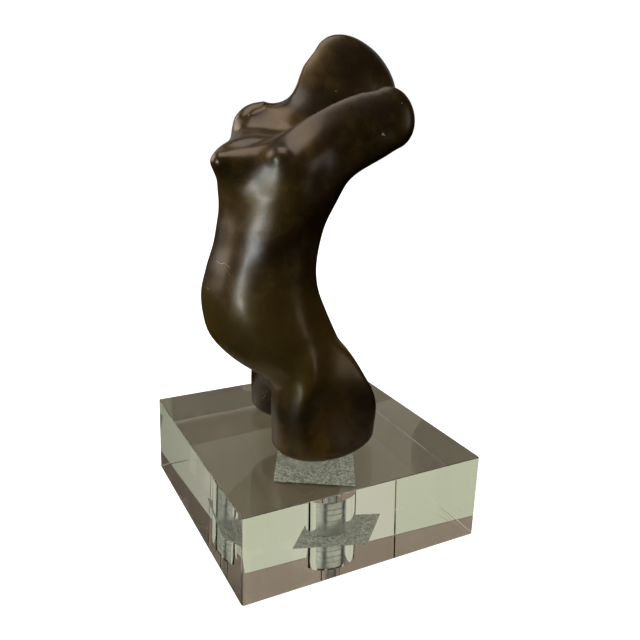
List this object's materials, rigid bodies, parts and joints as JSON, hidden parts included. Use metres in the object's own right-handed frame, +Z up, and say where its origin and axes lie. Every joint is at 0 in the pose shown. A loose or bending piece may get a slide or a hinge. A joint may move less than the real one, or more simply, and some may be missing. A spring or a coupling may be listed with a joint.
{
  "type": "bronze torso sculpture on a clear acrylic block",
  "caption": "Headless leaning female torso in dark bronze with two flat raised arms, fixed on a clear square acrylic block.",
  "frame": {"origin": "bottom centre of the block's square, on the surface that the part stands on", "axes": "+Z up, the figure faces -Y, the figure's own left side is +X"},
  "size_m": [0.15, 0.15, 0.2907],
  "materials": {
    "bronze": "cast bronze with a dark brown, slightly uneven waxed patina, satin gloss",
    "acrylic": "clear polished acrylic with a faint green tone and fine scratches",
    "steel": "turned and lightly polished metal",
    "pad": "pale speckled felt or foam pad"
  },
  "bodies": {
    "root": {"bronze_torso": "bronze", "acrylic_block": "acrylic", "fixing_stud": "steel", "fixing_barrel": "steel", "base_pad": "pad"}
  },
  "joints": []
}
